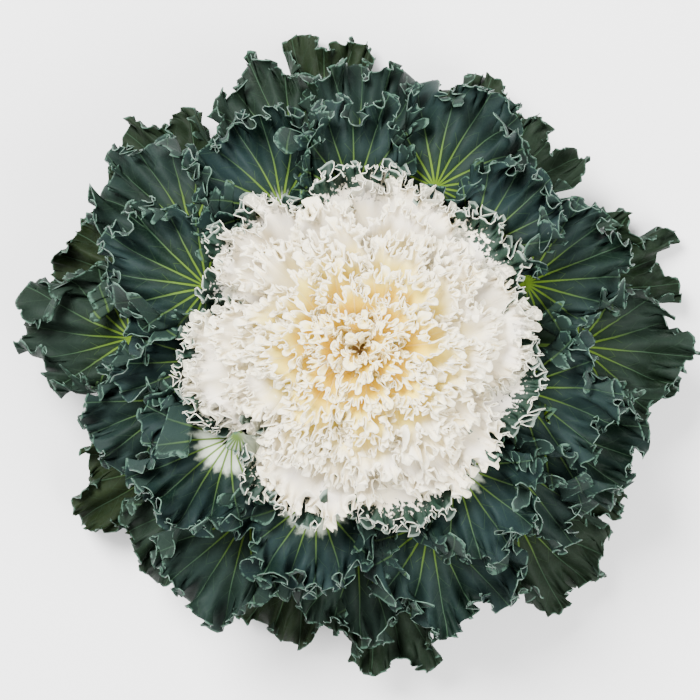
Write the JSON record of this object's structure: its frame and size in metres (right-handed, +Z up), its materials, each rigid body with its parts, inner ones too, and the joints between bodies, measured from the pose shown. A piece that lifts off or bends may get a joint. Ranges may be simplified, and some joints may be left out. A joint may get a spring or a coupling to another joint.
{
  "type": "ornamental kale plant",
  "caption": "Frilled ornamental kale head: a dense white and cream heart in a rosette of blue-green ruffled leaves, cut at the stem and resting on it.",
  "frame": {"origin": "centre of the stem's cut face, on the surface the head rests on", "axes": "+Z up along the stem, +X to the picture's right, +Y to the picture's top"},
  "size_m": [0.3222, 0.3062, 0.1421],
  "materials": {
    "stem": "matt green bark",
    "green_leaf": "waxy leaf with a grey-blue bloom",
    "white_leaf": "soft matt leaf",
    "cream_leaf": "soft matt leaf"
  },
  "bodies": {
    "root": {"green_leaf_01": "green_leaf", "green_leaf_02": "green_leaf", "green_leaf_03": "green_leaf", "green_leaf_04": "green_leaf", "green_leaf_05": "green_leaf", "green_leaf_06": "green_leaf", "green_leaf_07": "green_leaf", "green_leaf_08": "green_leaf", "green_leaf_09": "green_leaf", "green_leaf_10": "green_leaf", "green_leaf_11": "green_leaf", "green_leaf_12": "green_leaf", "green_leaf_13": "green_leaf", "green_leaf_14": "green_leaf", "green_leaf_15": "green_leaf", "green_leaf_16": "green_leaf", "green_leaf_17": "green_leaf", "green_leaf_18": "green_leaf", "green_leaf_19": "green_leaf", "green_leaf_20": "green_leaf", "green_leaf_21": "green_leaf", "green_leaf_22": "green_leaf", "green_leaf_23": "green_leaf", "green_leaf_24": "green_leaf", "green_leaf_25": "green_leaf", "green_leaf_26": "green_leaf", "green_leaf_27": "green_leaf", "green_leaf_28": "green_leaf", "green_leaf_29": "green_leaf", "green_leaf_30": "green_leaf", "green_leaf_31": "green_leaf", "green_leaf_32": "green_leaf", "green_leaf_33": "green_leaf", "green_leaf_34": "green_leaf", "heart_centre": "cream_leaf", "heart_middle": "white_leaf", "stem": "stem", "white_leaf_high_01": "white_leaf", "white_leaf_high_02": "white_leaf", "white_leaf_high_03": "white_leaf", "white_leaf_high_04": "white_leaf", "white_leaf_high_05": "white_leaf", "white_leaf_high_06": "white_leaf", "white_leaf_low_01": "white_leaf", "white_leaf_low_02": "white_leaf", "white_leaf_low_03": "white_leaf", "white_leaf_low_04": "white_leaf", "white_leaf_low_05": "white_leaf", "white_leaf_low_06": "white_leaf", "white_leaf_low_07": "white_leaf"}
  },
  "joints": []
}
